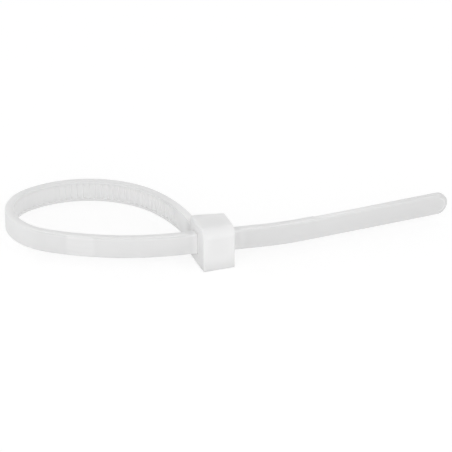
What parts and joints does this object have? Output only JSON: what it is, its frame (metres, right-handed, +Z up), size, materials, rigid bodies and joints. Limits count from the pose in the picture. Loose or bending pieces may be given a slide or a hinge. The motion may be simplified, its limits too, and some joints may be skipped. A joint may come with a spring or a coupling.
{
  "type": "cable tie",
  "caption": "Closed one-piece nylon cable tie: a toothed strap bent into a teardrop loop, its tail run through the ratchet head and left long.",
  "frame": {"origin": "middle of the slot in plan, on the head's underside, the flat moulded side that the tie lies on", "axes": "+X runs along the strap where it leaves the head, towards the tail; +Y points from the head into the loop; +Z is up, along the strap's width"},
  "size_m": [0.0505, 0.0186, 0.0051],
  "materials": {
    "nylon": "natural undyed nylon, slightly translucent, satin sheen"
  },
  "bodies": {
    "root": {"cable_tie": "nylon"}
  },
  "joints": []
}
